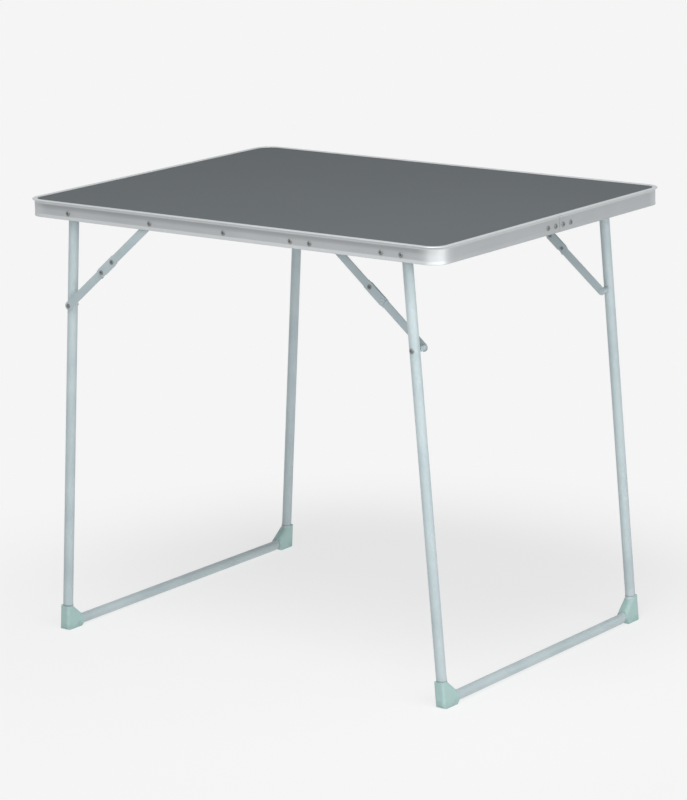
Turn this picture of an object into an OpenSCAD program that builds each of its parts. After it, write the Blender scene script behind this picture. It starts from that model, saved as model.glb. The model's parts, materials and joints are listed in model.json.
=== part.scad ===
// Folding camping table: a board in a bent metal rim, on two folding leg frames with knee braces.
// The narrow frame folds first, and the wide frame closes round it.
// X runs along the top, Y across it and Z up from the floor, and the origin is under the middle.

/* [Table top] */
// Length of the top, over the nose of the rim
top_l = 800; // [760:5:900]
// Width of the top, over the nose of the rim
top_w = 600; // [560:5:700]
// Height of the rim's top above the floor
table_h = 702; // [620:2:760]
// Radius of the top's corners, over the nose of the rim
corner_r = 30; // [24:1:45]
// Thickness of the board
board_t = 3; // [2:0.25:4]
// Gap between the board's edge and the wall of the rim
board_gap = 0.4; // [0.2:0.1:1]

/* [Rim profile] */
// Height of the rim
rim_h = 27; // [25:0.5:34]
// Thickness of the rim's wall
rim_wall = 1.2; // [1:0.1:1.8]
// How far the nose stands out past the flat face
rim_nose_out = 3.5; // [2:0.1:4.5]
// Height of the nose and of the cove under it
rim_nose_h = 5; // [4:0.5:7]
// Reach of the top lip over the board, from the nose
rim_lip_reach = 8; // [7:0.5:10]
// Thickness of the top lip
rim_lip_t = 1; // [0.8:0.1:1.5]
// Reach of the shelf under the board, from the nose
rim_shelf_reach = 12; // [9:0.5:15]
// Thickness of the shelf under the board
rim_shelf_t = 1.2; // [0.8:0.1:1.6]
// How far the bottom band slants out past the flat face
rim_band_out = 0.5; // [0.3:0.1:1]
// Height of the bottom band
rim_band_h = 5; // [3:0.5:6]
// Depth of all pivots and rivets below the rim's top
pivot_depth = 16.5; // [16:0.25:18]

/* [Rim joint] */
// Place of the butt joint across the right end
seam_y = 11; // [-60:1:60]
// Gap between the rim's two ends
seam_gap = 0.5; // [0.2:0.1:1.5]
// Length of the plate behind the joint
splice_l = 82; // [76:1:120]
// Height of the plate behind the joint
splice_h = 15; // [12:0.5:17]
// Thickness of the plate behind the joint
splice_t = 1.5; // [1:0.1:2]
// Distance between the joint's rivets
splice_pitch = 20; // [14:1:22]

/* [Leg frames] */
// Outside diameter of the leg tube
tube_d = 16; // [14:0.5:16.5]
// Wall thickness of the leg tube
tube_wall = 1; // [0.8:0.1:1.5]
// Distance of the leg pivots from the ends of the top
leg_inset = 88; // [80:1:100]
// Outward lean of the open legs, in degrees
leg_splay = 4.42; // [2:0.1:6]
// Length of the tube past its pivot
leg_tip = 7; // [6:0.5:7.5]
// Bend radius of the frame's lower corners, at the middle of the tube
bend_r = 38; // [32:1:46]
// Gap between the tubes of the two folded frames
frame_gap = 8; // [7:0.5:12]

/* [Feet] */
// Thickness of a foot across the frame
foot_t = 18.5; // [17.5:0.5:21]
// Height of a foot along the leg
foot_h = 40; // [36:1:50]
// Length of a foot along the floor bar
foot_arm = 38; // [34:1:48]
// Width of a foot's top
foot_top_w = 14; // [12:1:18]
// Height of a foot's slope at its lower end
foot_slope_h = 22; // [19:1:26]
// Height of a foot's end on the floor bar
foot_arm_h = 14; // [10:1:18]
// Length of the cut between the slope and the end
foot_cut_l = 3; // [1:0.5:6]
// Height and length of the cut under the end
foot_toe = 5; // [2:0.5:8]
// Wall of a foot outside the leg
foot_wall = 1.2; // [1:0.1:3]
// Thickness of the sole under the floor bar
sole_t = 1; // [0.8:0.1:4]
// Gap between a foot and the tube in it
foot_gap = 0.15; // [0.1:0.05:0.3]
// Radius of a foot's edges along the leg
foot_edge_r = 5; // [2:0.5:7]
// Radius of the edges of a foot's slope
foot_slope_r = 7; // [2:0.5:8.5]
// Radius of a foot's outer edge at the floor
foot_heel_r = 5; // [2:0.5:8]

/* [Braces] */
// Distance along the top from a leg's pivot to its upper brace pivot
brace_reach = 166.5; // [162:0.5:170]
// Distance from a leg's pivot down to its brace rivet
brace_drop = 148.4; // [140:0.2:150]
// Width of a brace link
link_w = 13; // [11:0.5:14]
// Width of a link beside the knee
knee_w = 15; // [14:0.5:19]
// Thickness of a brace link
link_t = 1.5; // [1:0.1:2]
// Distance from the knee to the stop pin
stop_reach = 29; // [22:0.5:30]
// Length of the upper link past the stop pin
tail_end = 4.5; // [4:0.5:5]
// Length of the bush between a narrow leg and its lower link
bush_l = 13.5; // [10:0.5:16]
// Length of the washer between a wide leg and its lower link
washer_l = 0.6; // [0.5:0.1:1.5]

/* [Brackets] */
// Thickness of the bracket and stiffener sheet
sheet_t = 1.5; // [1:0.1:1.5]
// Distance between the two rivets of a bracket
bracket_pitch = 36; // [28:1:38]
// Distance from a bracket's rivets to the ends of its flange
bracket_margin = 6.4; // [6:0.2:8]
// Reach of a flange below its rivets
flange_drop = 7.5; // [6.5:0.5:9]
// Cut at the lower corners of a flange
flange_chamfer = 4; // [2:0.5:6]
// Radius of a bracket's ear about its pivot
ear_r = 8.5; // [7.5:0.25:10]
// Width of the stiffener under the board
stiffener_w = 30; // [20:1:60]
// Width of the stiffener's end tabs
tab_w = 14; // [11:0.5:14]

/* [Rivets and pins] */
// Diameter of a blind rivet
rivet_d = 4.8; // [4:0.1:5.2]
// Diameter of the leg pins
leg_pin_d = 6; // [5:0.1:6.5]
// Diameter of the brace pins, knee rivets and stop pins
brace_pin_d = 5; // [4:0.1:5.2]
// Diameter of the heads that show
head_d = 8; // [7.4:0.1:9]
// Height of the heads that show
head_h = 1.3; // [0.8:0.1:1.6]
// Diameter of the blind end of a rivet
bulb_d = 6.4; // [6:0.1:7]
// Length of the blind end of a rivet
bulb_h = 3; // [2:0.25:3.2]
// Diameter of the hollow in a rivet's head
hollow_d = 2.6; // [2:0.1:3]
// Depth of the hollow in a rivet's head
hollow_h = 0.9; // [0.4:0.1:1.5]
// Height of the low heads between the links and the rim
low_head_h = 0.9; // [0.6:0.1:1.3]
// Clearance of a pin in its bore, on the radius
pin_gap = 0.08; // [0.05:0.01:0.1]
// Clearance between flat faces that slide past each other
face_gap = 0.2; // [0.15:0.05:0.4]
// Clearance between a moving head and the piece beside it
head_gap = 0.3; // [0.2:0.05:0.5]

/* [Hidden] */
$fn = 32;

// Each corner is drawn at the left front and mirrored: side 0 is wide, side 1 narrow, end 0 front.
wide = 0;
narrow = 1;
front = 0;
back = 1;

// Depths below the rim's top
board_depth = rim_lip_t;
shelf_depth = board_depth + board_t;
web_depth = shelf_depth + rim_shelf_t;
pivot_z = table_h - pivot_depth;

// Distances of the leg and upper brace pivots from the middle of the top
pivot_x = top_l / 2 - leg_inset;
brace_x = pivot_x - brace_reach;

// Distances out from the middle line of the top, across Y, of the rim's faces at the long sides
rim_face = top_w / 2 - rim_nose_out;
rim_inside = rim_face - rim_wall;

// The same of the wide frame's brace links and tube
wide_upper = rim_inside - low_head_h - head_gap - link_t;
wide_lower = wide_upper - face_gap - link_t;
wide_y = wide_lower - washer_l - head_gap - tube_d / 2;

// The same of the narrow frame's tube, brace links and ears
narrow_y = wide_y - tube_d - frame_gap;
narrow_lower = narrow_y - tube_d / 2 - head_gap - bush_l - link_t;
narrow_upper = narrow_lower + link_t + face_gap;
narrow_brace_ear = narrow_upper + link_t + face_gap;
narrow_leg_ear = narrow_y + tube_d / 2 + head_gap;

// Leg frame: length from the pivots to the floor bar
bar_z = tube_d / 2 + sole_t;
leg_l = (pivot_z - bar_z) / cos(leg_splay);

// Brace: places of its ends, and the two link lengths that lie straight when open and in line when folded
brace_top = [-brace_x, pivot_z];
brace_foot = [-pivot_x - brace_drop * sin(leg_splay), pivot_z - brace_drop * cos(leg_splay)];
brace_open = norm(brace_foot - brace_top);
brace_folded = brace_reach - brace_drop;
upper_l = (brace_open - brace_folded) / 2;
lower_l = (brace_open + brace_folded) / 2;
brace_angle = atan2(brace_foot[1] - brace_top[1], brace_foot[0] - brace_top[0]);
knee = brace_top + upper_l * [cos(brace_angle), sin(brace_angle)];
stop = brace_top + (upper_l + stop_reach) * [cos(brace_angle), sin(brace_angle)];

// Rivets of the brackets along a long side, and of the joint across the right end
bracket_rivet_places = [for (x = [-pivot_x, -brace_x], s = [-0.5, 0.5]) x + s * bracket_pitch];
splice_places = [for (i = [-1.5:1:1.5]) seam_y + i * splice_pitch];
end_face = top_l / 2 - rim_nose_out;

// Small shapes that all pins share
head_slope = 0.9;
head_rim = 0.35;
flare_reach = 1.1;
flare_d = brace_pin_d + 2 * flare_reach;
flare_h = 0.9;
low_head_reach = 1.3;
low_head_d = brace_pin_d + 2 * low_head_reach;
spacer_d = 9.5;

// How far a hole's tool runs past the metal it cuts
overshoot = 1;

// Points of an arc about c, from angle a to angle b
function arc(c, r, a, b, steps = 6) =
    [for (i = [0:steps]) c + r * [cos(a + (b - a) * i / steps), sin(a + (b - a) * i / steps)]];

module at_corner(side, end) {
    mirror([side, 0, 0])
        mirror([0, end, 0])
            children();
}

// Turns a drawing in X and Y into one in X and Z, and its thickness out from the middle line
module upright() {
    rotate([90, 0, 0])
        children();
}

// A turned piece whose axis runs across the table at x and z, drawn as [radius, distance out]
module turned(x, z) {
    translate([x, 0, z])
        upright()
            rotate_extrude()
                children();
}

// A plain hole across the table, from one distance out to another
module cross_hole(x, z, d, y_in, y_out) {
    translate([x, 0, z])
        upright()
            translate([0, 0, y_in])
                cylinder(d = d, h = y_out - y_in);
}

// A head with a sloped edge and a hollow, standing out from a face at distance y
function hollow_head(y) = [
    [0, y + head_h - hollow_h],
    [hollow_d / 2, y + head_h - hollow_h],
    [hollow_d / 2, y + head_h],
    [head_d / 2 - head_slope, y + head_h],
    [head_d / 2, y + head_rim],
    [head_d / 2, y]
];

// A flat head that faces back to the middle line, under a face at distance y
function inner_head(y, d, h) = [
    [d / 2, y],
    [d / 2, y - h + head_rim],
    [d / 2 - head_rim, y - h],
    [0, y - h]
];

// Rim and board

// Section of the rim: X is the distance out from the nose and Y the height from the top
module rim_section() {
    wall_in = -rim_nose_out - rim_wall;
    lip_edge = 0.5;
    nose_r = 0.8;
    cove_top = 1.6;
    cove_in = 0.3;
    cove = [for (t = [0:18:90]) [
        -rim_nose_out + (rim_nose_out - cove_in) * (1 - sin(t)),
        -cove_top - (rim_nose_h - cove_top) * (1 - cos(t))
    ]];
    polygon(concat(
        [[-rim_lip_reach, -rim_lip_t], [-rim_lip_reach, -lip_edge], [lip_edge - rim_lip_reach, 0]],
        arc([-nose_r, -nose_r], nose_r, 90, 0, 4),
        cove,
        [
            [-rim_nose_out, rim_band_h - rim_h],
            [-rim_nose_out + rim_band_out, rim_wall / 2 - rim_h],
            [-rim_nose_out, -rim_h],
            [wall_in, -rim_h],
            [wall_in, -web_depth],
            [-rim_shelf_reach, -web_depth],
            [-rim_shelf_reach, -shelf_depth],
            [wall_in, -shelf_depth],
            [wall_in, -board_depth]
        ]
    ));
}

// A straight run of the rim along Y, with its nose at X 0
module rim_run(from, to) {
    translate([0, to, 0])
        upright()
            linear_extrude(to - from)
                rim_section();
}

module rim_corner(sx, sy, turn) {
    translate([sx * (top_l / 2 - corner_r), sy * (top_w / 2 - corner_r), 0])
        rotate([0, 0, turn])
            rotate_extrude(angle = 90)
                translate([corner_r, 0])
                    rim_section();
}

module edge_rim() {
    half_l = top_l / 2 - corner_r;
    half_w = top_w / 2 - corner_r;
    color("silver")
        difference() {
            translate([0, 0, table_h])
                union() {
                    translate([top_l / 2, 0, 0]) rim_run(-half_w, seam_y - seam_gap / 2);
                    translate([top_l / 2, 0, 0]) rim_run(seam_y + seam_gap / 2, half_w);
                    rotate([0, 0, 180]) translate([top_l / 2, 0, 0]) rim_run(-half_w, half_w);
                    rotate([0, 0, 90]) translate([top_w / 2, 0, 0]) rim_run(-half_l, half_l);
                    rotate([0, 0, -90]) translate([top_w / 2, 0, 0]) rim_run(-half_l, half_l);
                    rim_corner(1, 1, 0);
                    rim_corner(-1, 1, 90);
                    rim_corner(-1, -1, 180);
                    rim_corner(1, -1, 270);
                }
            for (end = [front, back]) {
                at_corner(wide, end) rim_hole(-pivot_x, leg_pin_d);
                at_corner(wide, end) rim_hole(-brace_x, brace_pin_d);
                at_corner(wide, end) rim_hole(0, rivet_d);
                for (x = bracket_rivet_places) at_corner(narrow, end) rim_hole(x, rivet_d);
            }
            splice_holes();
        }
}

module rim_hole(x, d) {
    cross_hole(x, pivot_z, d + 2 * pin_gap, rim_inside - overshoot, rim_face + overshoot);
}

module table_board() {
    inset = rim_nose_out + rim_wall + board_gap;
    r = corner_r - inset;
    half_l = top_l / 2 - corner_r;
    half_w = top_w / 2 - corner_r;
    color("dimgray")
        translate([0, 0, table_h - shelf_depth])
            linear_extrude(board_t)
                polygon(concat(
                    arc([half_l, half_w], r, 0, 90, 9),
                    arc([-half_l, half_w], r, 90, 180, 9),
                    arc([-half_l, -half_w], r, 180, 270, 9),
                    arc([half_l, -half_w], r, 270, 360, 9)
                ));
}

// Blind rivet through metal of the given thickness, with its head on a face at distance y
module blind_rivet(x, z, y, grip) {
    turned(x, z)
        polygon(concat(
            hollow_head(y),
            [[rivet_d / 2, y], [rivet_d / 2, y - grip]],
            inner_head(y - grip, bulb_d, bulb_h)
        ));
}

// The joint across the right end: drawn at the front and turned to the right
module at_right_end() {
    rotate([0, 0, 90])
        children();
}

module splice_holes() {
    at_right_end()
        for (y = splice_places)
            cross_hole(y, pivot_z, rivet_d + 2 * pin_gap, end_face - rim_wall - splice_t - overshoot,
                end_face + overshoot);
}

module rim_splice_plate() {
    color("gainsboro")
        difference() {
            at_right_end()
                translate([seam_y - splice_l / 2, -end_face + rim_wall, pivot_z - splice_h / 2])
                    cube([splice_l, splice_t, splice_h]);
            splice_holes();
        }
}

module splice_rivets() {
    color("darkgray")
        at_right_end()
            for (y = splice_places) blind_rivet(y, pivot_z, end_face, rim_wall + splice_t);
}

// Stiffener and brackets

// Sheet hanging from the level of the shelf down past the pivot, with a round lower end
module hanging_ear(x, r, y_in) {
    translate([x, 0, pivot_z])
        upright()
            translate([0, 0, y_in])
                linear_extrude(sheet_t)
                    polygon(concat(
                        [[r, pivot_depth - web_depth], [-r, pivot_depth - web_depth]],
                        arc([0, 0], r, 180, 360, 12)
                    ));
}

// Sheet on the rim's inner face, with cut lower corners
module hanging_flange(x, width) {
    top = pivot_depth - web_depth;
    side = width / 2;
    corner = side - flange_chamfer;
    corner_z = flange_chamfer - flange_drop;
    translate([x, 0, pivot_z])
        upright()
            translate([0, 0, rim_inside - sheet_t])
                linear_extrude(sheet_t)
                    polygon([
                        [side, top], [-side, top], [-side, corner_z], [-corner, -flange_drop],
                        [corner, -flange_drop], [side, corner_z]
                    ]);
}

module web(x, width, y_in, y_out) {
    translate([x - width / 2, -y_out, table_h - web_depth - sheet_t])
        cube([width, y_out - y_in, sheet_t]);
}

// Folded bracket: a flange on the rim, a web under the shelf and an ear on the leg's or brace's side
module bracket(x, ear_y, pin_d, end) {
    width = bracket_pitch + 2 * bracket_margin;
    color("lightgray")
        at_corner(narrow, end)
            difference() {
                union() {
                    hanging_flange(-x, width);
                    web(-x, width, ear_y, rim_inside);
                    hanging_ear(-x, ear_r, ear_y);
                }
                cross_hole(-x, pivot_z, pin_d + 2 * pin_gap, ear_y - overshoot, ear_y + sheet_t + overshoot);
                for (s = [-0.5, 0.5])
                    cross_hole(-x + s * bracket_pitch, pivot_z, rivet_d + 2 * pin_gap,
                        rim_inside - sheet_t - overshoot, rim_inside + overshoot);
            }
}

module bracket_rivets() {
    color("darkgray")
        for (end = [front, back], x = bracket_rivet_places)
            at_corner(narrow, end) blind_rivet(x, pivot_z, rim_face, rim_wall + sheet_t);
}

// Shallow channel across the middle: its edges turn up to the board, and its tabs turn down at the rim
module stiffener_bar() {
    half_span = top_w / 2 - rim_shelf_reach - board_gap;
    edge_h = web_depth - shelf_depth;
    color("lightgray")
        difference() {
            union() {
                web(0, stiffener_w, -half_span, half_span);
                for (x = [-stiffener_w / 2, stiffener_w / 2 - sheet_t])
                    translate([x, -half_span, table_h - web_depth])
                        cube([sheet_t, 2 * half_span, edge_h]);
                for (end = [front, back])
                    at_corner(wide, end) {
                        web(0, tab_w, half_span - overshoot, rim_inside);
                        hanging_flange(0, tab_w);
                    }
            }
            for (end = [front, back])
                at_corner(wide, end)
                    cross_hole(0, pivot_z, rivet_d + 2 * pin_gap, rim_inside - sheet_t - overshoot,
                        rim_inside + overshoot);
        }
}

module stiffener_rivets() {
    color("darkgray")
        for (end = [front, back])
            at_corner(wide, end) blind_rivet(0, pivot_z, rim_face, rim_wall + sheet_t);
}

// Pins of the wide frame

module wide_leg_pins() {
    tube_in = wide_y - tube_d / 2;
    color("darkgray")
        for (end = [front, back])
            at_corner(wide, end)
                turned(-pivot_x, pivot_z)
                    polygon(concat(
                        hollow_head(rim_face),
                        [[leg_pin_d / 2, rim_face], [leg_pin_d / 2, tube_in - head_gap]],
                        inner_head(tube_in - head_gap, spacer_d, head_h)
                    ));
}

module wide_leg_spacers() {
    color("gainsboro")
        for (end = [front, back])
            at_corner(wide, end)
                turned(-pivot_x, pivot_z)
                    polygon(ring(leg_pin_d, spacer_d, wide_y + tube_d / 2 + head_gap, rim_inside));
}

// Half section of a ring round a pin
function ring(pin_d, d, y_in, y_out) = [
    [pin_d / 2 + pin_gap, y_in], [d / 2, y_in], [d / 2, y_out], [pin_d / 2 + pin_gap, y_out]
];

// Flush end of a brace pin, spread into the countersink of a link at distance y
function flush_end(y) = [
    [brace_pin_d / 2, y + flare_h], [flare_d / 2, y], [0, y]
];

module wide_brace_pins() {
    link_out = wide_upper + link_t;
    color("darkgray")
        for (end = [front, back])
            at_corner(wide, end)
                turned(-brace_x, pivot_z)
                    polygon(concat(
                        hollow_head(rim_face),
                        [
                            [brace_pin_d / 2, rim_face], [brace_pin_d / 2, rim_inside],
                            [spacer_d / 2, rim_inside], [spacer_d / 2, link_out + face_gap],
                            [brace_pin_d / 2, link_out + face_gap]
                        ],
                        flush_end(wide_upper)
                    ));
}

// Pins of the narrow frame

module narrow_leg_pins() {
    tube_in = narrow_y - tube_d / 2;
    ear_out = narrow_leg_ear + sheet_t;
    color("darkgray")
        for (end = [front, back])
            at_corner(narrow, end)
                turned(-pivot_x, pivot_z)
                    polygon(concat(
                        hollow_head(ear_out),
                        [[leg_pin_d / 2, ear_out], [leg_pin_d / 2, tube_in - head_gap]],
                        inner_head(tube_in - head_gap, spacer_d, head_h)
                    ));
}

module narrow_brace_pins() {
    ear_out = narrow_brace_ear + sheet_t;
    color("darkgray")
        for (end = [front, back])
            at_corner(narrow, end)
                turned(-brace_x, pivot_z)
                    polygon(concat(
                        hollow_head(ear_out),
                        [[brace_pin_d / 2, ear_out]],
                        flush_end(narrow_upper)
                    ));
}

// Leg frames

module in_leg_plane() {
    translate([-pivot_x, 0, pivot_z])
        rotate([0, leg_splay, 0])
            children();
}

// The bent line of a frame as a solid or hollow round section: two legs, two bends and the floor bar
module bent_frame(y) {
    straight_l = leg_l - bend_r;
    for (s = [0, 1])
        mirror([0, s, 0]) {
            translate([0, -y, -straight_l])
                linear_extrude(straight_l + leg_tip)
                    children();
            translate([0, bend_r - y, -straight_l])
                rotate([-90, 0, -90])
                    rotate_extrude(angle = 90)
                        translate([bend_r, 0])
                            children();
        }
    translate([0, y - bend_r, -leg_l])
        upright()
            linear_extrude(2 * (y - bend_r))
                children();
}

module tube_section() {
    difference() {
        circle(d = tube_d);
        circle(d = tube_d - 2 * tube_wall);
    }
}

module leg_tube(side, y) {
    y_in = y - tube_d;
    y_out = y + tube_d;
    color("lightsteelblue")
        at_corner(side, front)
            difference() {
                in_leg_plane() bent_frame(y) tube_section();
                for (end = [front, back])
                    at_corner(wide, end) {
                        cross_hole(-pivot_x, pivot_z, leg_pin_d + 2 * pin_gap, y_in, y_out);
                        cross_hole(brace_foot[0], brace_foot[1], brace_pin_d + 2 * pin_gap, y_in, y_out);
                    }
            }
}

// Moulded shoe over the outside of a lower corner, open towards the inside of the frame
module foot(side, end, y) {
    outer = y + tube_d / 2 + foot_wall;
    color("lightblue")
        at_corner(side, end)
            difference() {
                intersection() {
                    in_leg_plane()
                        translate([0, -outer, -leg_l - bar_z])
                            foot_block();
                    foot_on_floor(outer);
                }
                in_leg_plane() bent_frame(y) circle(d = tube_d + 2 * foot_gap);
            }
}

// Foot without its tube channel, in the leg's plane: it runs on below the floor
module foot_block() {
    slope_end = foot_arm - foot_cut_l;
    intersection() {
        rotate([90, 0, 90])
            translate([0, 0, -foot_t / 2])
                linear_extrude(foot_t)
                    polygon([
                        [0, foot_h], [0, -foot_t], [foot_arm - foot_toe, -foot_t], [foot_arm - foot_toe, 0],
                        [foot_arm, foot_toe], [foot_arm, foot_arm_h], [slope_end, foot_slope_h],
                        [foot_top_w, foot_h]
                    ]);
        translate([0, 0, -foot_t])
            linear_extrude(foot_t + foot_h)
                foot_plan();
        foot_slope([foot_top_w, foot_h], [slope_end, foot_slope_h]);
    }
}

// Long bar under the line of a foot's slope, with its two upper edges rounded
module foot_slope(from, to) {
    half_t = foot_t / 2;
    r = foot_slope_r;
    reach = 2 * foot_h;
    translate([0, from[0], from[1]])
        rotate([atan2(to[1] - from[1], to[0] - from[0]), 0, 0])
            translate([0, reach, 0])
                upright()
                    linear_extrude(2 * reach)
                        polygon(concat(
                            arc([half_t - r, -r], r, 0, 90),
                            arc([r - half_t, -r], r, 90, 180),
                            [[-half_t, -reach], [half_t, -reach]]
                        ));
}

// Space above the floor that a foot fills: flat below, with a rounded heel on the outer side
module foot_on_floor(outer) {
    translate([-top_l / 2, 0, 0])
        rotate([90, 0, 90])
            linear_extrude(top_l / 2)
                polygon(concat(
                    arc([foot_heel_r - outer, foot_heel_r], foot_heel_r, 180, 270),
                    [[0, 0], [0, 2 * foot_h], [-outer, 2 * foot_h]]
                ));
}

// Plan of a foot: rounded on its outer side, square where the bar leaves it
module foot_plan() {
    half_t = foot_t / 2;
    r = foot_edge_r;
    polygon(concat(
        arc([half_t - r, r], r, 0, -90),
        arc([r - half_t, r], r, -90, -180),
        [[-half_t, foot_arm + overshoot], [half_t, foot_arm + overshoot]]
    ));
}

// Rivet through a leg tube at the foot of its brace: its head is on the far side from the link
module wide_leg_rivets() {
    tube_in = wide_y - tube_d / 2;
    color("darkgray")
        for (end = [front, back])
            at_corner(wide, end)
                turned(brace_foot[0], brace_foot[1])
                    polygon(concat(
                        [[0, wide_y + tube_d / 2], [brace_pin_d / 2, wide_y + tube_d / 2]],
                        [[brace_pin_d / 2, tube_in]],
                        inner_head(tube_in, head_d, head_h)
                    ));
}

module narrow_leg_rivets() {
    tube_out = narrow_y + tube_d / 2;
    color("darkgray")
        for (end = [front, back])
            at_corner(narrow, end)
                turned(brace_foot[0], brace_foot[1])
                    polygon(concat(
                        hollow_head(tube_out),
                        [[brace_pin_d / 2, tube_out], [brace_pin_d / 2, tube_out - tube_d]],
                        [[0, tube_out - tube_d]]
                    ));
}

// Brace links: each is drawn along X from its upper pivot

// Cone of a countersink in a link, on its side towards the middle line
module countersink() {
    translate([0, 0, -overshoot])
        cylinder(d = brace_pin_d + 2 * pin_gap, h = link_t + 2 * overshoot);
    cylinder(d1 = flare_d + 2 * pin_gap, d2 = brace_pin_d + 2 * pin_gap, h = flare_h);
}

module link_hole() {
    translate([0, 0, -overshoot])
        cylinder(d = brace_pin_d + 2 * pin_gap, h = link_t + 2 * overshoot);
}

module place_link(at, y_in) {
    translate([at[0], 0, at[1]])
        upright()
            translate([0, 0, y_in])
                rotate([0, 0, brace_angle])
                    children();
}

function upper_y(side) = side == wide ? wide_upper : narrow_upper;
function lower_y(side) = side == wide ? wide_lower : narrow_lower;

module upper_link(side, end) {
    r = link_w / 2;
    half = knee_w / 2;
    flare = half - r;
    tip = upper_l + stop_reach + tail_end;
    tip_r = 3;
    shoulder = upper_l - half;
    color("lightsteelblue")
        at_corner(side, end)
            place_link(brace_top, upper_y(side))
                difference() {
                    linear_extrude(link_t)
                        polygon(concat(
                            arc([0, 0], r, 90, 270, 12),
                            [[shoulder - flare, -r], [shoulder, -half]],
                            arc([tip - tip_r, tip_r - half], tip_r, -90, 0, 4),
                            arc([tip - tip_r, half - tip_r], tip_r, 0, 90, 4),
                            [[shoulder, half], [shoulder - flare, r]]
                        ));
                    countersink();
                    translate([upper_l, 0, 0]) link_hole();
                    translate([upper_l + stop_reach, 0, 0]) link_hole();
                }
}

// The stop pin leaves the lower link through a notch, on an arc about the knee
module lower_link(side, end) {
    r = link_w / 2;
    half = knee_w / 2;
    shoulder = stop_reach + half;
    slot_r = brace_pin_d / 2 + head_gap;
    swing = stop_reach - sqrt(stop_reach * stop_reach - half * half);
    notch_end = stop_reach - slot_r - swing;
    color("lightsteelblue")
        at_corner(side, end)
            place_link(knee, lower_y(side))
                difference() {
                    linear_extrude(link_t)
                        difference() {
                            polygon(concat(
                                arc([0, 0], half, 90, 270, 12),
                                [[shoulder, -half], [shoulder + half - r, -r]],
                                arc([lower_l, 0], r, -90, 90, 12),
                                [[shoulder + half - r, r], [shoulder, half]]
                            ));
                            polygon(concat(
                                arc([stop_reach, 0], slot_r, 180, 360, 12),
                                [[stop_reach + slot_r, knee_w], [notch_end, knee_w], [notch_end, 0]]
                            ));
                        }
                    countersink();
                    translate([lower_l, 0, 0]) link_hole();
                }
}

// Knee rivet: a low head on the upper link and a flush end in the lower link
module knee_rivet(side, end) {
    link_out = upper_y(side) + link_t;
    color("darkgray")
        at_corner(side, end)
            turned(knee[0], knee[1])
                polygon(concat(low_head(link_out), flush_end(lower_y(side))));
}

function low_head(y) = [
    [0, y + low_head_h / 2],
    [hollow_d / 2, y + low_head_h / 2],
    [hollow_d / 2, y + low_head_h],
    [low_head_d / 2 - head_rim, y + low_head_h],
    [low_head_d / 2, y + head_rim],
    [low_head_d / 2, y],
    [brace_pin_d / 2, y]
];

// Stop pin: fixed in the upper link's tail, it stands in the lower link's notch
module stop_pin(side, end) {
    link_out = upper_y(side) + link_t;
    pin_in = lower_y(side);
    color("darkgray")
        at_corner(side, end)
            turned(stop[0], stop[1])
                polygon(concat(low_head(link_out), [[brace_pin_d / 2, pin_in], [0, pin_in]]));
}

// Rivet in the lower link's end: the leg's own rivet faces it, and the pivot is open between them
module wide_end_rivet(end) {
    link_out = wide_lower + link_t;
    rivet_in = wide_lower - washer_l;
    color("darkgray")
        at_corner(wide, end)
            turned(brace_foot[0], brace_foot[1])
                polygon(concat(low_head(link_out), [[brace_pin_d / 2, rivet_in], [0, rivet_in]]));
}

module wide_end_washer(end) {
    color("gainsboro")
        at_corner(wide, end)
            turned(brace_foot[0], brace_foot[1])
                polygon(ring(brace_pin_d, spacer_d, wide_lower - washer_l, wide_lower));
}

module narrow_end_rivet(end) {
    rivet_out = narrow_lower + link_t + bush_l;
    color("darkgray")
        at_corner(narrow, end)
            turned(brace_foot[0], brace_foot[1])
                polygon(concat(
                    [[0, rivet_out], [brace_pin_d / 2, rivet_out], [brace_pin_d / 2, narrow_lower]],
                    inner_head(narrow_lower, low_head_d, low_head_h)
                ));
}

module narrow_end_bush(end) {
    link_out = narrow_lower + link_t;
    color("gainsboro")
        at_corner(narrow, end)
            turned(brace_foot[0], brace_foot[1])
                polygon(ring(brace_pin_d, spacer_d, link_out, link_out + bush_l));
}

table_board();
edge_rim();
rim_splice_plate();
splice_rivets();
stiffener_bar();
stiffener_rivets();
bracket(pivot_x, narrow_leg_ear, leg_pin_d, front);  // leg_bracket_front
bracket(pivot_x, narrow_leg_ear, leg_pin_d, back);  // leg_bracket_back
bracket(brace_x, narrow_brace_ear, brace_pin_d, front);  // brace_bracket_front
bracket(brace_x, narrow_brace_ear, brace_pin_d, back);  // brace_bracket_back
bracket_rivets();
wide_leg_pins();
wide_leg_spacers();
wide_brace_pins();
narrow_leg_pins();
narrow_brace_pins();
leg_tube(wide, wide_y);  // wide_leg_tube
foot(wide, front, wide_y);  // wide_foot_front
foot(wide, back, wide_y);  // wide_foot_back
wide_leg_rivets();
leg_tube(narrow, narrow_y);  // narrow_leg_tube
foot(narrow, front, narrow_y);  // narrow_foot_front
foot(narrow, back, narrow_y);  // narrow_foot_back
narrow_leg_rivets();
upper_link(wide, front);  // upper_link_wide_front
lower_link(wide, front);  // lower_link_wide_front
knee_rivet(wide, front);  // knee_rivet_wide_front
stop_pin(wide, front);  // stop_pin_wide_front
wide_end_rivet(front);  // end_rivet_wide_front
wide_end_washer(front);  // end_washer_wide_front
upper_link(wide, back);  // upper_link_wide_back
lower_link(wide, back);  // lower_link_wide_back
knee_rivet(wide, back);  // knee_rivet_wide_back
stop_pin(wide, back);  // stop_pin_wide_back
wide_end_rivet(back);  // end_rivet_wide_back
wide_end_washer(back);  // end_washer_wide_back
upper_link(narrow, front);  // upper_link_narrow_front
lower_link(narrow, front);  // lower_link_narrow_front
knee_rivet(narrow, front);  // knee_rivet_narrow_front
stop_pin(narrow, front);  // stop_pin_narrow_front
narrow_end_rivet(front);  // end_rivet_narrow_front
narrow_end_bush(front);  // end_bush_narrow_front
upper_link(narrow, back);  // upper_link_narrow_back
lower_link(narrow, back);  // lower_link_narrow_back
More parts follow.
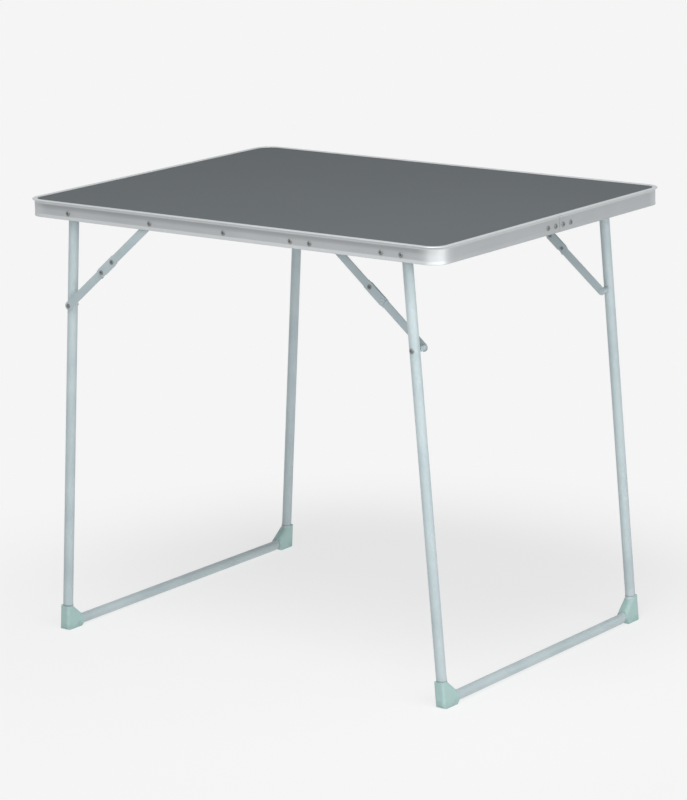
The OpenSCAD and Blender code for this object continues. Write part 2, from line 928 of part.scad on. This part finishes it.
knee_rivet(narrow, back);  // knee_rivet_narrow_back
stop_pin(narrow, back);  // stop_pin_narrow_back
narrow_end_rivet(back);  // end_rivet_narrow_back
narrow_end_bush(back);  // end_bush_narrow_back
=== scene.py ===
import json
import math

import bpy
from mathutils import Matrix, Vector

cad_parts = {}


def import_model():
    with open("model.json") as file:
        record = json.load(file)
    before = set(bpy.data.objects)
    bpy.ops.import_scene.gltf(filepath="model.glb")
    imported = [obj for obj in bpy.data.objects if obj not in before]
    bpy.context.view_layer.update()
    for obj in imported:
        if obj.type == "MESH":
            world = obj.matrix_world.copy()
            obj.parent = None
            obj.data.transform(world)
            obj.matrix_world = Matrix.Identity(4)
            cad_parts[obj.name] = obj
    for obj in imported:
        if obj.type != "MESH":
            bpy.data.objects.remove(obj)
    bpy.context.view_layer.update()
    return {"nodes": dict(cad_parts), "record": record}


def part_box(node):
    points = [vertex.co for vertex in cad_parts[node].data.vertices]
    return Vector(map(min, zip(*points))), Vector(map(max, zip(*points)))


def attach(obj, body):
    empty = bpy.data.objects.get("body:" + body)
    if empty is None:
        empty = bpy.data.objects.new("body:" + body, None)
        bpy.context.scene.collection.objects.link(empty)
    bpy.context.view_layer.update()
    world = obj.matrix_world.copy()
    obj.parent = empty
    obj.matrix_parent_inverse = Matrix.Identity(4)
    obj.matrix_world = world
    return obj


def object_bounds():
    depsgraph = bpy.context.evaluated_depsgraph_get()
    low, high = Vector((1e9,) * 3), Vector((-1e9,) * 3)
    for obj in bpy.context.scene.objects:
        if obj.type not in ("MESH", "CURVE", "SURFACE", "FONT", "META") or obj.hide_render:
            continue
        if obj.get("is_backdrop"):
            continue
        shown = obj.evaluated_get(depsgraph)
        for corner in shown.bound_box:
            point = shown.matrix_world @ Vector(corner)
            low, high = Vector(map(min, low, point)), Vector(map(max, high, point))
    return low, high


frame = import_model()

NODES = frame["nodes"]


# Colours


def linear(red, green, blue):
    """The linear values of a colour that is written in 0 to 255, as the screen shows it."""
    def channel(value):
        value /= 255
        return value / 12.92 if value <= 0.04045 else ((value + 0.055) / 1.055) ** 2.4
    return (channel(red), channel(green), channel(blue), 1.0)


LAMINATE = linear(94, 99, 102)
LAMINATE_PALE = linear(99, 104, 107)
ALUMINIUM = linear(177, 180, 182)
ALUMINIUM_DULL = linear(166, 170, 172)
# Painted shadow and painted highlight of the rim's face
ALUMINIUM_SHADED = linear(138, 140, 142)
ALUMINIUM_PAINTED_HIGHLIGHT = linear(206, 209, 210)
LEG_PAINT = linear(175, 188, 191)
LEG_PAINT_DUST = linear(163, 177, 181)
LINK_PAINT = linear(165, 178, 182)
LINK_PAINT_DUST = linear(153, 167, 171)
# Painted shadow of the gap at the feet's collars
JOINT_SHADOW = linear(92, 104, 106)
FOOT_GREEN = linear(158, 186, 183)
FOOT_SCUFF = linear(142, 168, 166)
ZINC = linear(190, 193, 196)
ZINC_DULL = linear(160, 164, 168)
RIVET = linear(118, 119, 118)
STEM = linear(40, 41, 42)
PIN_BARE = linear(96, 103, 116)
BACKDROP = linear(245, 245, 245)
WHITE = (1.0, 1.0, 1.0, 1.0)


# Shader nodes


class Nodes:
    """A tree of shader nodes, which all come from add()."""

    def __init__(self, tree):
        self.tree = tree
        tree.nodes.clear()

    def feed(self, socket, value):
        """Puts a plain value into a socket, or links another socket to it."""
        if isinstance(value, Value):
            self.tree.links.new(value.socket, socket)
        else:
            socket.default_value = value

    def add(self, kind, settings=None, **inputs):
        """One node: its settings come first, then its sockets by name, or by number as i0 and so on."""
        node = self.tree.nodes.new("ShaderNode" + kind)
        for name, value in (settings or {}).items():
            setattr(node, name, value)
        for name, value in inputs.items():
            numbered = name[0] == "i" and name[1:].isdigit()
            self.feed(node.inputs[int(name[1:]) if numbered else name.replace("_", " ")], value)
        return Value(self, node.outputs[0]) if node.outputs else None


class Value:
    """One output socket of a node. Sums on it add Math nodes."""

    def __init__(self, nodes, socket):
        self.nodes = nodes
        self.socket = socket

    def output(self, key):
        """Another output of the same node."""
        return Value(self.nodes, self.socket.node.outputs[key])

    def math(self, operation, *values):
        sockets = {f"i{place}": value for place, value in enumerate(values)}
        return self.nodes.add("Math", {"operation": operation}, **sockets)

    def __add__(self, other):
        return self.math("ADD", self, other)

    def __radd__(self, other):
        return self.math("ADD", other, self)

    def __sub__(self, other):
        return self.math("SUBTRACT", self, other)

    def __rsub__(self, other):
        return self.math("SUBTRACT", other, self)

    def __mul__(self, other):
        return self.math("MULTIPLY", self, other)

    def __rmul__(self, other):
        return self.math("MULTIPLY", other, self)

    def __abs__(self):
        return self.math("ABSOLUTE", self)

    def root(self):
        return self.math("SQRT", self)

    def or_more(self, other):
        """The greater of two values."""
        return self.math("MAXIMUM", self, other)

    def above(self, low, high):
        """0 below low and 1 above high, with a smooth step between them."""
        smooth = {"interpolation_type": "SMOOTHSTEP"}
        return self.nodes.add("MapRange", smooth, Value=self, From_Min=low, From_Max=high)

    def within(self, low, high, soft=0.0006):
        """1 between low and high and 0 outside them, with soft edges."""
        return self.above(low - soft, low + soft) * (1.0 - self.above(high - soft, high + soft))

    def between(self, first, second):
        """The first number where the value is 0, the second where it is 1."""
        return first + self * (second - first)


class Finish(Nodes):
    """A material that is built up from one Principled shader."""

    def __init__(self, name, colour, roughness, metallic=0.0, **constants):
        self.material = bpy.data.materials.new(name)
        self.material.use_nodes = True
        self.material.diffuse_color = colour
        super().__init__(self.material.node_tree)
        self.shader = self.add(
            "BsdfPrincipled", Base_Color=colour, Roughness=roughness, Metallic=metallic, **constants)

    def put(self, name, value):
        """Puts a value into one of the shader's sockets."""
        self.feed(self.shader.socket.node.inputs[name], value)

    def made(self, surface=None):
        """The material, with the shader as its surface unless another one is given."""
        self.add("OutputMaterial", Surface=surface or self.shader)
        return self.material

    def place(self):
        """The point on the piece, in metres, in the frame that all pieces share."""
        return self.add("TexCoord").output("Object")

    def axes(self):
        """X, Y and Z of the point on the piece."""
        split = self.add("SeparateXYZ", i0=self.place())
        return [split.output(axis) for axis in "XYZ"]

    def grain(self, scale, detail=2.0, roughness=0.5, stretch=None):
        """Noise from 0 to 1, mostly near 0.5, with about scale waves to a metre, times an axis's stretch."""
        where = self.place()
        if stretch:
            where = self.add("VectorMath", {"operation": "MULTIPLY"}, i0=where, i1=stretch)
        return self.add("TexNoise", Vector=where, Scale=scale, Detail=detail, Roughness=roughness)

    def blend(self, factor, first, second):
        """The first colour where the factor is 0, the second where it is 1."""
        # A Mix node takes its colours at sockets 6 and 7 and gives one at output 2
        return self.add("Mix", {"data_type": "RGBA"}, i0=factor, i6=first, i7=second).output(2)

    def bump(self, height, distance, strength):
        """Raises the surface by a height from 0 to 1 times a distance in metres."""
        self.put("Normal", self.add("Bump", Height=height, Distance=distance, Strength=strength))


# Finishes of the table

CLOUD_SHARE = 0.6


def laminate():
    """Matt dark grey laminate with a fine even grain and very faint cloudy wear."""
    finish = Finish("board laminate", LAMINATE, 0.7, Specular_IOR_Level=0.04)
    cloud = finish.grain(3.5, detail=3.0)
    speck = finish.grain(900.0)
    worn = (cloud * CLOUD_SHARE + speck * (1 - CLOUD_SHARE)).above(0.3, 0.75)
    finish.put("Base Color", finish.blend(worn, LAMINATE, LAMINATE_PALE))
    finish.put("Roughness", cloud.between(0.62, 0.76))
    finish.bump(finish.grain(1400.0), distance=0.00004, strength=0.5)
    return finish.made()


# How far the rim reaches, and the heights of what its face shows, from the top down
RIM_END, RIM_SIDE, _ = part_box("edge_rim")[1]
NOSE_H = 0.0050
COVE_START = 0.0056
COVE_DEEP = 0.0075
COVE_END = 0.0150
FOOT_BAND = 0.0215
RIM_H = 0.027
# Half the height of the step from the nose to the cove, and a margin past the rim's edges
COVE_STEP = 0.0015
RIM_MARGIN = 0.001
# Lengths from the rim's ends and sides inwards: the long sides' painted shade and highlight fade, and the
# bend's painted highlight begins
END_FADE = 0.025
BEND_START = 0.045
BEND_FULL = 0.020
# Shares of painted shade and painted highlight that are mixed into the plain metal
COVE_SHADE = 0.6
BEND_HIGHLIGHT_SHARE = 0.75
HIGHLIGHT_SHARE = 0.55


def extruded_aluminium():
    """Satin anodised profile, drawn along its length. Painted shade in the long sides' cove; painted
    highlights on their foot, the nose and the bends.
    """
    finish = Finish("rim aluminium", ALUMINIUM, 0.5, metallic=0.8)
    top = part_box("edge_rim")[1][2]
    x, y, height = finish.axes()
    long_side = 1.0 - abs(x).above(RIM_END - END_FADE, RIM_END)
    bend = (abs(x).above(RIM_END - BEND_START, RIM_END - BEND_FULL)
            * abs(y).above(RIM_SIDE - BEND_START, RIM_SIDE - BEND_FULL))
    lines = finish.grain(1.0, detail=3.0, roughness=0.6, stretch=(2.0, 2.0, 1600.0))
    cloud = finish.grain(9.0, detail=3.0)
    plain = finish.blend((lines * 0.5 + cloud * 0.5).above(0.35, 0.7), ALUMINIUM_DULL, ALUMINIUM)

    # Painted shadow of the nose, in the cove below it on the long sides
    below_nose = 1.0 - height.above(top - COVE_START - COVE_STEP, top - COVE_START + COVE_STEP)
    cove = height.above(top - COVE_END, top - COVE_DEEP) * below_nose
    shaded = finish.blend(cove * long_side * COVE_SHADE, plain, ALUMINIUM_SHADED)

    # Painted highlights along the foot of the long sides, on the nose all round, and on the corner bends
    foot = height.within(top - RIM_H - RIM_MARGIN, top - FOOT_BAND)
    nose = height.within(top - NOSE_H, top + RIM_MARGIN)
    painted_highlight = (foot * long_side + nose).or_more(bend * BEND_HIGHLIGHT_SHARE)
    finish.put("Base Color", finish.blend(painted_highlight * HIGHLIGHT_SHARE, shaded, ALUMINIUM_PAINTED_HIGHLIGHT))
    finish.put("Roughness", lines.between(0.47, 0.61))
    finish.bump(lines, distance=0.0001, strength=0.8)
    return finish.made()


# A painted shadow line where a foot's collar meets the tube, round the height of the collar's top
FOOT_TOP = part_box("wide_foot_front")[1][2]
JOINT_BELOW = 0.001
JOINT_OVER = 0.0008
JOINT_SHARE = 0.55


def paint(name, colour, dust):
    """Pale powder coat with a faint orange peel, and a painted shadow line in the gap where the feet begin.
    """
    finish = Finish(name, colour, 0.38, Coat_Weight=0.1, Coat_Roughness=0.3)
    cloud = finish.grain(14.0, detail=4.0)
    plain = finish.blend(cloud.above(0.35, 0.75), colour, dust)
    # Painted shadow in the gap at the top of each foot's collar
    joint_shadow = finish.axes()[2].within(FOOT_TOP - JOINT_BELOW, FOOT_TOP + JOINT_OVER)
    finish.put("Base Color", finish.blend(joint_shadow * JOINT_SHARE, plain, JOINT_SHADOW))
    finish.put("Roughness", cloud.between(0.36, 0.48))
    finish.bump(finish.grain(650.0), distance=0.00005, strength=0.35)
    return finish.made()


SCUFF_H = 0.03


def foot_plastic():
    """Moulded plastic, a little scuffed towards the floor."""
    finish = Finish("foot plastic", FOOT_GREEN, 0.55)
    low_down = 1.0 - finish.axes()[2].above(0.0, SCUFF_H)
    scuff = finish.grain(60.0, detail=5.0, roughness=0.65) * low_down
    finish.put("Base Color", finish.blend(scuff.above(0.3, 0.62), FOOT_GREEN, FOOT_SCUFF))
    finish.put("Roughness", scuff.between(0.5, 0.7))
    finish.bump(finish.grain(1100.0), distance=0.00004, strength=0.5)
    return finish.made()


def zinc_sheet():
    """Zinc-plated sheet, with the cloudy look that plating has."""
    finish = Finish("zinc sheet", ZINC, 0.38, metallic=1.0)
    cloud = finish.grain(70.0, detail=4.0, roughness=0.6)
    finish.put("Base Color", finish.blend(cloud.above(0.35, 0.68), ZINC_DULL, ZINC))
    finish.put("Roughness", cloud.between(0.3, 0.5))
    return finish.made()


def rivet_metal(name, colour, metallic):
    """Dull metal with an uneven sheen."""
    finish = Finish(name, colour, 0.4, metallic=metallic)
    finish.put("Roughness", finish.grain(240.0, detail=3.0).between(0.34, 0.56))
    return finish.made()


RIVET_METALLIC = 0.35
PAINT_EDGE = 0.0002


def half_painted():
    """The narrow frame's stop pins: painted over outside, bare and dark inside."""
    finish = Finish("half-painted pin", RIVET, 0.4, metallic=RIVET_METALLIC)
    low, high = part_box("stop_pin_narrow_back")
    half = (low[1] + high[1]) / 2
    outside = abs(finish.axes()[1]).above(half - PAINT_EDGE, half + PAINT_EDGE)
    finish.put("Base Color", finish.blend(outside, PIN_BARE, LINK_PAINT))
    finish.put("Metallic", outside.between(RIVET_METALLIC, 0.0))
    return finish.made()


FINISHES = {
    "board": laminate(),
    "rim": extruded_aluminium(),
    "leg_paint": paint("leg paint", LEG_PAINT, LEG_PAINT_DUST),
    "foot_plastic": foot_plastic(),
    "bright_sheet": zinc_sheet(),
    "rivet": rivet_metal("rivet metal", RIVET, RIVET_METALLIC),
}
LINK_FINISH = paint("link paint", LINK_PAINT, LINK_PAINT_DUST)
PIN_FINISH = half_painted()
STEM_FINISH = rivet_metal("stem metal", STEM, 0.2)


def finish_of(node, slot):
    """Links have a paint of their own, which also covers the narrow braces' end rivets and bushes."""
    if node.startswith("stop_pin_narrow"):
        return PIN_FINISH
    if "_link_" in node or node.startswith(("end_bush", "end_rivet_narrow")):
        return LINK_FINISH
    return FINISHES[slot]


for subpart in frame["record"]["subparts"]:
    for place in NODES[subpart["node"]].material_slots:
        place.material = finish_of(subpart["node"], subpart["material_slot"])


# Broken stems in the hollow heads of the rivets

HEAD_R = 0.004
HEAD_HOLLOW = 0.0009
STEM_R = 0.00125
STEM_L = 0.0007
STEM_SIDES = 16
STEM_ROOT = 0.0001
STEM_CHAMFER = 0.0002
STEM_TIP_SHARE = 0.7


def stems(name, body, places, length=STEM_L):
    """Short dark pins, each from a point on the floor of a hollow, along a direction out of it."""
    vertices, faces = [], []
    rings = (
        (-STEM_ROOT, STEM_R), (length - STEM_CHAMFER, STEM_R), (length, STEM_R * STEM_TIP_SHARE))
    for point, out in places:
        point, out = Vector(point), Vector(out)
        side = out.orthogonal().normalized()
        up = out.cross(side)
        first = len(vertices)
        for along, radius in rings:
            for step in range(STEM_SIDES):
                angle = 2 * math.pi * step / STEM_SIDES
                across = side * math.cos(angle) + up * math.sin(angle)
                vertices.append(point + out * along + across * radius)
        for ring in (0, STEM_SIDES):
            for step in range(STEM_SIDES):
                beside = (step + 1) % STEM_SIDES
                faces.append([first + ring + step, first + ring + beside,
                              first + ring + STEM_SIDES + beside, first + ring + STEM_SIDES + step])
        faces.append([first + step for step in reversed(range(STEM_SIDES))])
        faces.append([first + 2 * STEM_SIDES + step for step in range(STEM_SIDES)])
    mesh = bpy.data.meshes.new(name)
    mesh.from_pydata(vertices, [], faces)
    mesh.materials.append(STEM_FINISH)
    piece = bpy.data.objects.new(name, mesh)
    bpy.context.scene.collection.objects.link(piece)
    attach(piece, body)


def middle(node, axis):
    """The middle of a node's box along an axis."""
    low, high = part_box(node)
    return (low[axis] + high[axis]) / 2


def from_both_ends(node, axis, offsets):
    """Places of rivets along an axis, counted from the two ends of a node's box inwards."""
    low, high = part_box(node)
    return ([low[axis] + HEAD_R + offset for offset in offsets]
            + [high[axis] - HEAD_R - offset for offset in offsets])


def hollow_floors(node, along, axis=1):
    """Points and directions for stems(): hollows at both ends of an axis, at places along the other one."""
    low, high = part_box(node)
    for sign, end in ((-1, low[axis]), (1, high[axis])):
        floor_at = end - sign * HEAD_HOLLOW
        for place in along:
            point = (place, floor_at) if axis == 1 else (floor_at, place)
            yield (*point, middle(node, 2)), ((0, sign, 0) if axis == 1 else (sign, 0, 0))


BRACKET_PITCH = 0.036
SPLICE_PITCH = 0.020
rim_stems = []
for node in ("wide_leg_pins", "wide_brace_pins", "stiffener_rivets"):
    rim_stems += hollow_floors(node, [middle(node, 0)])
rim_stems += hollow_floors("bracket_rivets", from_both_ends("bracket_rivets", 0, (0.0, BRACKET_PITCH)))
# Of the splice's rivets only the outer heads have a stem in sight
splice = hollow_floors("splice_rivets", from_both_ends("splice_rivets", 1, (0.0, SPLICE_PITCH)), axis=0)
rim_stems += [(point, out) for point, out in splice if out[0] > 0]
stems("rim_rivet_stems", "top", rim_stems)

for corner in ("wide_front", "wide_back", "narrow_front", "narrow_back"):
    side = -1 if corner.endswith("front") else 1
    # The narrow frame's stop pins are painted over and show no stem
    pins = ["knee_rivet"] if corner.startswith("narrow") else ["knee_rivet", "stop_pin"]
    link_stems = []
    for node in (f"{pin}_{corner}" for pin in pins):
        low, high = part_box(node)
        floor_at = (low if side < 0 else high)[1] - side * HEAD_HOLLOW / 2
        link_stems.append(((middle(node, 0), floor_at, middle(node, 2)), (0, side, 0)))
    stems(f"knee_stems_{corner}", f"upper_brace_{corner}", link_stems, STEM_L / 2)


# Floor, light and camera

FLOOR_SIZE = 80.0
# The floor's even share inside the inner radius, round the table. It is whole beyond the outer one
EVEN_SHARE = 0.76
SHADOW_INNER = 0.45
SHADOW_OUTER = 1.0
AMBIENT = 0.26


def floor():
    """A pale floor that keeps a weak shadow of the table near it and is even further out."""
    bpy.ops.mesh.primitive_plane_add(size=FLOOR_SIZE, location=(0, 0, 0))
    plane = bpy.context.object
    plane.name = "floor"
    finish = Finish("floor", BACKDROP, 0.9, Specular_IOR_Level=0.0)
    x, y, _ = finish.axes()
    far = (x * x + y * y).root().above(SHADOW_INNER, SHADOW_OUTER)
    even = finish.add("Emission", Color=BACKDROP, Strength=1.0)
    mixed = finish.add("MixShader", i0=far.between(EVEN_SHARE, 1.0), i1=finish.shader, i2=even)
    plane.data.materials.append(finish.made(mixed))
    plane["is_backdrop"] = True


def world():
    """Even light from all round, with the pale backdrop where it is seen straight or in a reflection."""
    studio = bpy.data.worlds.new("studio")
    bpy.context.scene.world = studio
    studio.use_nodes = True
    nodes = Nodes(studio.node_tree)
    path = nodes.add("LightPath")
    seen = path.output("Is Camera Ray")
    for ray in ("Is Glossy Ray", "Is Transmission Ray"):
        seen = seen.or_more(path.output(ray))
    light = nodes.add("Background", Color=WHITE, Strength=AMBIENT)
    pale = nodes.add("Background", Color=BACKDROP, Strength=1.0)
    nodes.add("OutputWorld", Surface=nodes.add("MixShader", i0=seen, i1=light, i2=pale))


def softbox(name, at, towards, size, power, spread=180.0):
    """A lamp of this width and height in metres, in watts, that spreads its light by so many degrees."""
    lamp = bpy.data.lights.new(name, "AREA")
    lamp.shape = "RECTANGLE"
    lamp.size, lamp.size_y = size
    lamp.energy = power
    lamp.spread = math.radians(spread)
    thing = bpy.data.objects.new(name, lamp)
    bpy.context.scene.collection.objects.link(thing)
    thing.location = at
    thing.rotation_euler = (Vector(towards) - Vector(at)).to_track_quat("-Z", "Y").to_euler()


def camera(at, yaw, pitch, roll, lens, shift_y):
    """Yaw is counted from +X and pitch from the level, in radians. The lens is in mm on 36 mm."""
    lens_data = bpy.data.cameras.new("camera")
    lens_data.lens = lens
    lens_data.sensor_width = 36.0
    lens_data.shift_y = shift_y
    lens_data.clip_end = 200.0
    thing = bpy.data.objects.new("camera", lens_data)
    bpy.context.scene.collection.objects.link(thing)
    thing.matrix_world = (
        Matrix.Translation(at)
        @ Matrix.Rotation(yaw - math.pi / 2, 4, "Z")
        @ Matrix.Rotation(pitch + math.pi / 2, 4, "X")
        @ Matrix.Rotation(roll, 4, "Z"))
    bpy.context.scene.camera = thing


floor()
world()
softbox("key", at=(0.6, -1.6, 3.8), towards=(0.0, 0.0, 0.4), size=(1.8, 1.8), power=91.0)
softbox("side", at=(2.5, -0.8, 1.2), towards=(0.4, -0.2, 0.6), size=(2.4, 1.2), power=38.0)
softbox("front", at=(1.1, -2.8, 1.3), towards=(0.4, -0.3, 0.75), size=(1.4, 1.0), power=1.6, spread=40.0)
# Place, angles and lens come from fitting the edges of the table to the photograph
camera(
    at=(3.038511, -3.917010, 1.568438), yaw=2.232272, pitch=-0.238825, roll=-0.023185,
    lens=144.8388, shift_y=0.005317)
bpy.context.scene.view_settings.view_transform = "Standard"

low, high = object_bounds()
